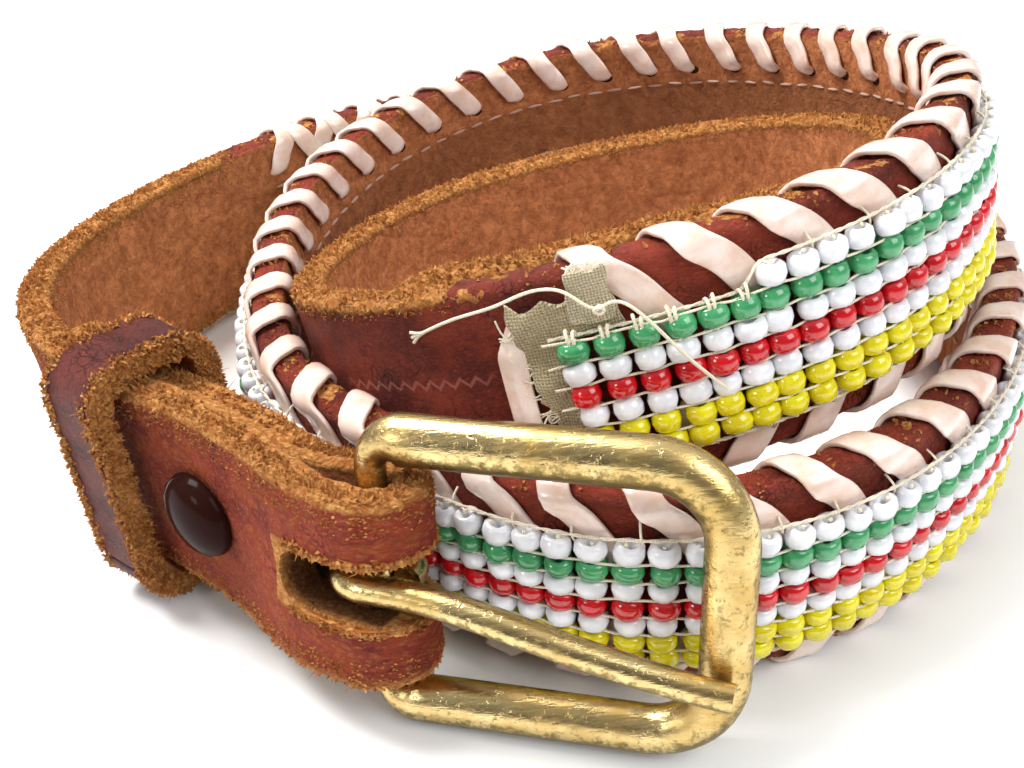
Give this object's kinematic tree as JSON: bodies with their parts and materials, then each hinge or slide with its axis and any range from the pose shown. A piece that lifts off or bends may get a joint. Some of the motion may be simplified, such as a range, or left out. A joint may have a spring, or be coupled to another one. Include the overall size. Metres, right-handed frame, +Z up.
{
  "type": "belt",
  "caption": "Coiled leather belt with rows of glass beads, whip-laced edges, a keeper loop and an unfastened gold frame buckle.",
  "frame": {"origin": "On the surface that the belt stands on, under the middle of its bounding box.", "axes": "+Z up; the buckle and the keeper loop are on the -Y side and the plain strap bulges towards -X."},
  "size_m": [0.1382, 0.1432, 0.0532],
  "materials": {
    "leather": "satin, grain side, with napped tan edges",
    "suede": "matt, flesh side",
    "keeper_leather": "satin",
    "snap_lacquer": "gloss",
    "brass": "polished, lightly worn",
    "beads": "opaque glass, glossy",
    "bead_green": "opaque glass, glossy",
    "bead_red": "opaque glass, glossy",
    "bead_yellow": "opaque glass, glossy",
    "lace": "flat vinyl lace, low gloss",
    "canvas": "coarse weave",
    "tape": "diagonal weave",
    "thread": "twisted cotton",
    "stitching": "waxed thread"
  },
  "bodies": {
    "belt": {"strap": "leather", "keeper_loop": "keeper_leather", "snap_stud": "snap_lacquer", "bead_band": "beads", "edge_lacing_upper": "lace", "edge_lacing_lower": "lace", "lace_crossing": "lace", "canvas_end": "canvas", "tape_tab": "tape"},
    "buckle": {"buckle_frame": "brass"},
    "prong": {"prong": "brass"}
  },
  "joints": [
    {"name": "buckle_swing", "type": "hinge", "parent": "belt", "child": "buckle", "pos_m": [-0.01455, -0.05584, 0.01761], "axis": [0.0395, 0.2171, 0.9754], "range_deg": [-34, 0]},
    {"name": "prong_pivot", "type": "hinge", "parent": "buckle", "child": "prong", "pos_m": [-0.01455, -0.05584, 0.01761], "axis": [0.0395, 0.2171, 0.9754], "range_deg": [-90, 0]}
  ]
}
